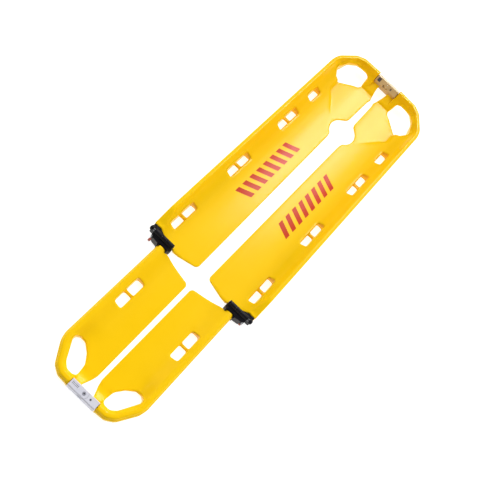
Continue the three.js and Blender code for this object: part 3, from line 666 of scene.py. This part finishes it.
def make_floor():
    """A pale floor that glows a little, so that it stays plain white under the object."""
    mesh = bpy.data.meshes.new("floor")
    far = FLOOR_REACH
    mesh.from_pydata([(-far, -far, 0), (far, -far, 0), (far, far, 0), (-far, far, 0)], [], [(0, 1, 2, 3)])
    floor = bpy.data.objects.new("floor", mesh)
    bpy.context.scene.collection.objects.link(floor)
    floor.location.z = -FLOOR_DROP
    made = surface("floor", (0.49, 0.49, 0.49), (0.51, 0.51, 0.51), 0.9, 300, patch=2)
    shader = made.node_tree.nodes["Principled BSDF"]
    shader.inputs["Emission Color"].default_value = (1, 1, 1, 1)
    shader.inputs["Emission Strength"].default_value = FLOOR_GLOW
    floor.data.materials.append(made)


def make_world():
    """Even light from the sky, brighter close to the horizon."""
    world = bpy.data.worlds.new("world")
    bpy.context.scene.world = world
    world.use_nodes = True
    tree = world.node_tree
    coords = tree.nodes.new("ShaderNodeTexCoord")
    axes = tree.nodes.new("ShaderNodeSeparateXYZ")
    fade = tree.nodes.new("ShaderNodeMapRange")
    fade.inputs["From Min"].default_value, fade.inputs["From Max"].default_value = HORIZON_BAND
    fade.inputs["To Min"].default_value = HORIZON_LIGHT
    fade.inputs["To Max"].default_value = WORLD_LIGHT
    tree.links.new(coords.outputs["Generated"], axes.inputs["Vector"])
    tree.links.new(axes.outputs["Z"], fade.inputs["Value"])
    tree.nodes["Background"].inputs["Color"].default_value = (1, 1, 1, 1)
    tree.links.new(fade.outputs["Result"], tree.nodes["Background"].inputs["Strength"])


def make_lights():
    """A strip seen only in reflections, two soft boxes, a weak warm fill on the head end and two suns."""
    strip = area_light("strip", (3.1, 0, 3.0), (3.1, 0, 0), (2.6, 0.5), STRIP_POWER, STRIP_COLOR)
    strip.visible_diffuse = False
    for side in (1, -1):
        box = area_light("box", (0.2, side * 3.4, 2.6), (0, 0, 0), (2.4, 1.2), BOX_POWER)
        box.visible_glossy = False
    warm = area_light("warm_fill", (0.2, 0, 0.4), (0.8, 0, 0.12), (0.7, 0.3), WARM_POWER, WARM_COLOR)
    warm.visible_glossy = False
    for side in (1, -1):
        sun("sun", (2.2, side * 1.3, 2.4), SUN_POWER)


bpy.context.scene.view_settings.view_transform = "Standard"
make_camera()
make_floor()
make_world()
make_lights()


# ---- pieces ----------------------------------------------------------------------------------
def turned(section, place, axis, sides=32):
    """A closed body of revolution: points (radius, height) turned about an axis through a place."""
    made = bmesh.new()
    rings = []
    for radius, height in section:
        if radius == 0:
            rings.append([made.verts.new((0, 0, height))])
            continue
        ring = []
        for k in range(sides):
            angle = 2 * math.pi * k / sides
            ring.append(made.verts.new((radius * math.cos(angle), radius * math.sin(angle), height)))
        rings.append(ring)
    for below, above in zip(rings, rings[1:]):
        for k in range(sides):
            j = (k + 1) % sides
            corners = [below[k % len(below)], below[j % len(below)]]
            corners += [above[j % len(above)], above[k % len(above)]]
            made.faces.new(list(dict.fromkeys(corners)))
    turn = Vector((0, 0, 1)).rotation_difference(Vector(axis)).to_matrix()
    for vert in made.verts:
        vert.co = (turn @ vert.co + Vector(place)) * MM
    mesh = bpy.data.meshes.new("tool")
    made.to_mesh(mesh)
    made.free()
    tool = bpy.data.objects.new("tool", mesh)
    bpy.context.scene.collection.objects.link(tool)
    return tool


def counterbore(x, y, head, shank, depth, top):
    """A screw's hole from below: wide as far as a depth, then narrow up to the top."""
    section = [(0, -2), (head, -2), (head, depth), (shank, depth), (shank, top), (0, top)]
    return turned(section, (x, y, 0), (0, 0, 1))


def drill(piece, tools):
    """Cuts the tools out of a piece's mesh, one after another, and takes them away."""
    for tool in tools:
        cut = piece.modifiers.new("cut", "BOOLEAN")
        cut.operation = "DIFFERENCE"
        cut.object = tool
    baked = bpy.data.meshes.new_from_object(piece.evaluated_get(bpy.context.evaluated_depsgraph_get()))
    piece.modifiers.clear()
    piece.data = baked
    baked.shade_smooth()
    baked.set_sharp_from_angle(angle=math.radians(50))
    for tool in tools:
        bpy.data.objects.remove(tool)


def lock_screw_tools(side, end):
    """The holes of a coupling's screws, at the head end (1) or the foot end (-1)."""
    hole = LOCK_SCREWS
    return [
        counterbore(end * hole["x"], side * y, hole["head"], hole["shank"], hole["depth"], hole["top"])
        for y in hole["ys"]
    ]


def head_tools(side):
    hole = BRACKET_SCREWS
    tools = [
        counterbore(x, side * hole["y"], hole["head"], hole["shank"], hole["depth"], hole["top"])
        for x in hole["xs"]
    ]
    return tools + lock_screw_tools(side, 1)


def foot_tools(side):
    hole = LENGTH_LOCK
    tools = [turned(TUBE_BORE, (TUBE_MOUTH_X, side * TUBE_Y, TUBE_Z), (-1, 0, 0))]
    tools.append(
        counterbore(hole["x"], side * TUBE_Y, hole["head"], hole["shank"], hole["depth"], hole["top"]))
    return tools + lock_screw_tools(side, -1)


def shells():
    """The four shell skins, in place of the plainer CAD shells."""
    slots = [slot_loop(x, SLOT_Y, *SLOT_SIZE, SLOT_CORNER) for x in HEAD_SLOT_XS]
    slots.append(slot_loop(SINGLE_SLOT_X, SLOT_Y, SINGLE_SLOT_LENGTH, SLOT_SIZE[1], SLOT_CORNER))
    holes = slots + [rounded(HEAD_HANDHOLD, 4)]
    head = shell_mesh(head_outline(), holes, head_path, HEAD_RINGS, head_top, head_bottom,
                      HEAD_LIPS, HEAD_GRID_FROM, lean)
    foot_holes = [slot_loop(FOOT_SLOT_X, FOOT_SLOT_Y, *FOOT_SLOT_SIZE, FOOT_SLOT_CORNER),
                  rounded(FOOT_HANDHOLD, 4)]
    foot = shell_mesh(foot_outline(), foot_holes, foot_path, FOOT_RINGS, foot_top, foot_bottom,
                      FOOT_LIPS, FOOT_GRID_FROM, upright)
    looks = {"head": HEAD_LOOK, "foot": LOOKS["yellow_plastic"]}
    tools = {"head": head_tools, "foot": foot_tools}
    for side, sign in (("left", 1), ("right", -1)):
        for part, mesh in (("head", head), ("foot", foot)):
            piece = mesh_object(f"{part}_shell_skin_{side}", *mesh, mirror=side == "right")
            piece.data.materials.append(looks[part])
            drill(piece, tools[part](sign))
            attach(piece, f"{part}_{side}")
            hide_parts(f"{part}_shell_{side}")


def slot_bar(x, middle_y, length, z, half_width, half_height, flare):
    """The cross bar of a slot, along Y, which widens in a curve where it meets the shell."""
    section = []
    for k in range(BAR_SIDES):
        angle = 2 * math.pi * k / BAR_SIDES
        across, up = math.cos(angle), math.sin(angle)
        section.append((math.copysign(abs(across) ** BAR_SQUARENESS, across),
                        math.copysign(abs(up) ** BAR_SQUARENESS, up)))
    reach = length / 2
    place, polygons = [], []
    for row in np.linspace(-reach - BAR_EMBED, reach + BAR_EMBED, BAR_ROWS):
        gap = np.clip(reach - abs(row), 0, flare)
        width = half_width + flare - math.sqrt(flare ** 2 - (flare - gap) ** 2)
        place += [(x + width * across, middle_y + row, z + half_height * up) for across, up in section]
    for k in range(BAR_ROWS - 1):
        for j in range(BAR_SIDES):
            a = k * BAR_SIDES + j
            b = k * BAR_SIDES + (j + 1) % BAR_SIDES
            polygons.append((a + BAR_SIDES, b + BAR_SIDES, b, a))
    polygons.append(tuple(range(BAR_SIDES)))
    polygons.append(tuple(range(len(place) - BAR_SIDES, len(place)))[::-1])
    return np.array(place), polygons


def slot_bars():
    """Moulded-looking bars across the long slots, in place of the thinner CAD rods."""
    bars = [("head", f"head_strap_pin_{i + 1}", (x, SLOT_Y, SLOT_SIZE[1], *HEAD_BAR))
            for i, x in enumerate(HEAD_SLOT_XS)]
    bars.append(("foot", "foot_strap_pin", (FOOT_SLOT_X, FOOT_SLOT_Y, FOOT_SLOT_SIZE[1], *FOOT_BAR)))
    for part, node, size in bars:
        mesh = slot_bar(*size)
        for side in ("left", "right"):
            piece = mesh_object(f"{node}_skin_{side}", *mesh, mirror=side == "right")
            piece.data.materials.append(LOOKS["yellow_plastic"])
            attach(piece, f"{part}_{side}")
            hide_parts(f"{node}_{side}")


def cad_looks():
    """Every CAD node that stays gets its slot's material and soft edges."""
    slots = {row["node"]: row["material_slot"] for row in frame["record"]["subparts"]}
    for name, node in frame["nodes"].items():
        node.data.materials.clear()
        node.data.materials.append(SPECIAL_LOOKS.get(name, LOOKS[slots[name]]))
        weld = node.modifiers.new("weld", "WELD")
        weld.merge_threshold = 0.00001
        edges = node.modifiers.new("edges", "BEVEL")
        edges.width = EDGE_SOFTNESS.get(slots[name], 0.4) * MM
        edges.segments = 2
        edges.limit_method = "ANGLE"
        edges.angle_limit = math.radians(35)
        edges.use_clamp_overlap = True
        node.modifiers.new("shading", "WEIGHTED_NORMAL").keep_sharp = False


shells()
slot_bars()
cad_looks()
